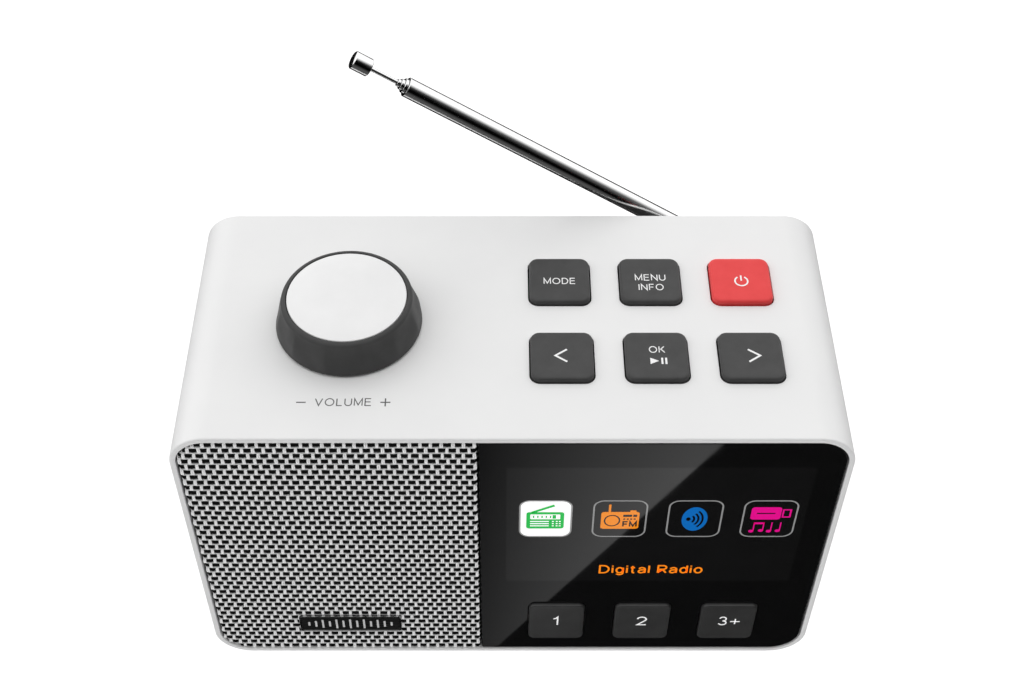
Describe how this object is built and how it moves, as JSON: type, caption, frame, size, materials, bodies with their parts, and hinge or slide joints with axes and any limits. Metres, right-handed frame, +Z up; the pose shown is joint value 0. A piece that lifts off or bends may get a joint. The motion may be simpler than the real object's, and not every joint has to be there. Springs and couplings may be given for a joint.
{
  "type": "tabletop radio",
  "caption": "Small tabletop radio with a cloth grille, display window, volume knob, top keys, preset keys and a folding telescopic antenna.",
  "frame": {"origin": "centre of the footprint, from the preset keys' faces to the antenna's ears, on the surface that the feet stand on", "axes": "+X towards the radio's right end seen from the front, +Y to the back, +Z up; the front faces -Y"},
  "size_m": [0.17, 0.088, 0.1545],
  "materials": {
    "white_sleeve": "satin white moulded plastic",
    "black_plastic": "fine-grained black moulded plastic",
    "gloss_window": "polished black window, with pale printed marks",
    "grey_keys": "soft matt dark grey, white printed marks",
    "red_key": "soft matt red, white printed mark",
    "grille_cloth": "open weave of black and white yarns",
    "knob_grey": "soft matt dark grey",
    "cap_white": "satin pale cap",
    "chrome": "polished chrome plate",
    "plated_steel": "zinc-plated steel",
    "aluminium": "plain extruded aluminium",
    "brass": "plain brass",
    "rubber": "matt black rubber",
    "circuit_board": "green solder mask",
    "cone_paper": "pressed black paper"
  },
  "bodies": {
    "root": {"cabinet_sleeve": "white_sleeve", "foot_1": "rubber", "foot_2": "rubber", "foot_3": "rubber", "foot_4": "rubber", "grille_cloth": "grille_cloth", "grille_frame": "black_plastic", "nameplate": "black_plastic", "display_window": "gloss_window", "front_baffle": "black_plastic", "lcd_module": "black_plastic", "lcd_bracket": "plated_steel", "front_key_board": "circuit_board", "top_key_board": "circuit_board", "speaker_gasket": "rubber", "speaker_basket": "plated_steel", "speaker_cone": "cone_paper", "speaker_dust_cap": "cone_paper", "speaker_magnet": "plated_steel", "speaker_screw_1": "plated_steel", "speaker_screw_2": "plated_steel", "speaker_screw_3": "plated_steel", "speaker_screw_4": "plated_steel", "main_board": "circuit_board", "tuner_can": "plated_steel", "amplifier_heatsink": "aluminium", "capacitor": "black_plastic", "dc_inlet": "black_plastic", "headphone_jack": "black_plastic", "aux_jack": "black_plastic", "usb_socket": "plated_steel", "rear_panel": "black_plastic", "rear_screw_1": "plated_steel", "rear_screw_2": "plated_steel", "rear_screw_3": "plated_steel", "rear_screw_4": "plated_steel", "encoder_body": "plated_steel", "encoder_nut": "brass"},
    "volume_knob": {"knob_body": "knob_grey", "knob_cap": "cap_white", "encoder_shaft": "aluminium"},
    "mode_key": {"key_mode": "grey_keys"},
    "menu_key": {"key_menu": "grey_keys"},
    "power_key": {"key_power": "red_key"},
    "previous_key": {"key_previous": "grey_keys"},
    "ok_key": {"key_ok": "grey_keys"},
    "next_key": {"key_next": "grey_keys"},
    "preset_1": {"preset_key_1": "grey_keys"},
    "preset_2": {"preset_key_2": "grey_keys"},
    "preset_3": {"preset_key_3": "grey_keys"},
    "antenna_swivel": {"antenna_turret": "black_plastic", "antenna_hinge_pin": "plated_steel"},
    "antenna_arm": {"antenna_knuckle": "chrome", "antenna_tube_1": "chrome"},
    "antenna_section_2": {"antenna_tube_2": "chrome"},
    "antenna_section_3": {"antenna_tube_3": "chrome"},
    "antenna_section_4": {"antenna_tube_4": "chrome"},
    "antenna_end": {"antenna_rod": "chrome", "antenna_tip": "chrome"}
  },
  "joints": [
    {"name": "volume_spin", "type": "hinge", "parent": "root", "child": "volume_knob", "pos_m": [-0.0421, -0.0051, 0.1036], "axis": [0, 0, 1], "continuous": true},
    {"name": "mode_key_press", "type": "slide", "parent": "root", "child": "mode_key", "axis": [0, 0, -1], "range_m": [0, 0.0008], "stiffness_N_per_m": 400, "springref_m": -0.0006},
    {"name": "menu_key_press", "type": "slide", "parent": "root", "child": "menu_key", "axis": [0, 0, -1], "range_m": [0, 0.0008], "stiffness_N_per_m": 400, "springref_m": -0.0006},
    {"name": "power_key_press", "type": "slide", "parent": "root", "child": "power_key", "axis": [0, 0, -1], "range_m": [0, 0.0008], "stiffness_N_per_m": 400, "springref_m": -0.0006},
    {"name": "previous_key_press", "type": "slide", "parent": "root", "child": "previous_key", "axis": [0, 0, -1], "range_m": [0, 0.0008], "stiffness_N_per_m": 400, "springref_m": -0.0006},
    {"name": "ok_key_press", "type": "slide", "parent": "root", "child": "ok_key", "axis": [0, 0, -1], "range_m": [0, 0.0008], "stiffness_N_per_m": 400, "springref_m": -0.0006},
    {"name": "next_key_press", "type": "slide", "parent": "root", "child": "next_key", "axis": [0, 0, -1], "range_m": [0, 0.0008], "stiffness_N_per_m": 400, "springref_m": -0.0006},
    {"name": "preset_1_press", "type": "slide", "parent": "root", "child": "preset_1", "axis": [0, 1, 0], "range_m": [0, 0.0008], "stiffness_N_per_m": 400, "springref_m": -0.0006},
    {"name": "preset_2_press", "type": "slide", "parent": "root", "child": "preset_2", "axis": [0, 1, 0], "range_m": [0, 0.0008], "stiffness_N_per_m": 400, "springref_m": -0.0006},
    {"name": "preset_3_press", "type": "slide", "parent": "root", "child": "preset_3", "axis": [0, 1, 0], "range_m": [0, 0.0008], "stiffness_N_per_m": 400, "springref_m": -0.0006},
    {"name": "antenna_swivel_turn", "type": "hinge", "parent": "root", "child": "antenna_swivel", "pos_m": [0.07, 0.041, 0.0783], "axis": [0, 1, 0], "range_deg": [-33.9, 146.1]},
    {"name": "antenna_tilt", "type": "hinge", "parent": "antenna_swivel", "child": "antenna_arm", "pos_m": [0.07, 0.041, 0.0783], "axis": [-0.5577, 0, -0.83], "range_deg": [0, 90]},
    {"name": "antenna_slide_2", "type": "slide", "parent": "antenna_arm", "child": "antenna_section_2", "axis": [-0.83, 0, 0.5577], "range_m": [0, 0.1]},
    {"name": "antenna_slide_3", "type": "slide", "parent": "antenna_section_2", "child": "antenna_section_3", "axis": [-0.83, 0, 0.5577], "range_m": [0, 0.1]},
    {"name": "antenna_slide_4", "type": "slide", "parent": "antenna_section_3", "child": "antenna_section_4", "axis": [-0.83, 0, 0.5577], "range_m": [0, 0.1]},
    {"name": "antenna_slide_end", "type": "slide", "parent": "antenna_section_4", "child": "antenna_end", "axis": [-0.83, 0, 0.5577], "range_m": [-0.0075, 0.09]}
  ]
}
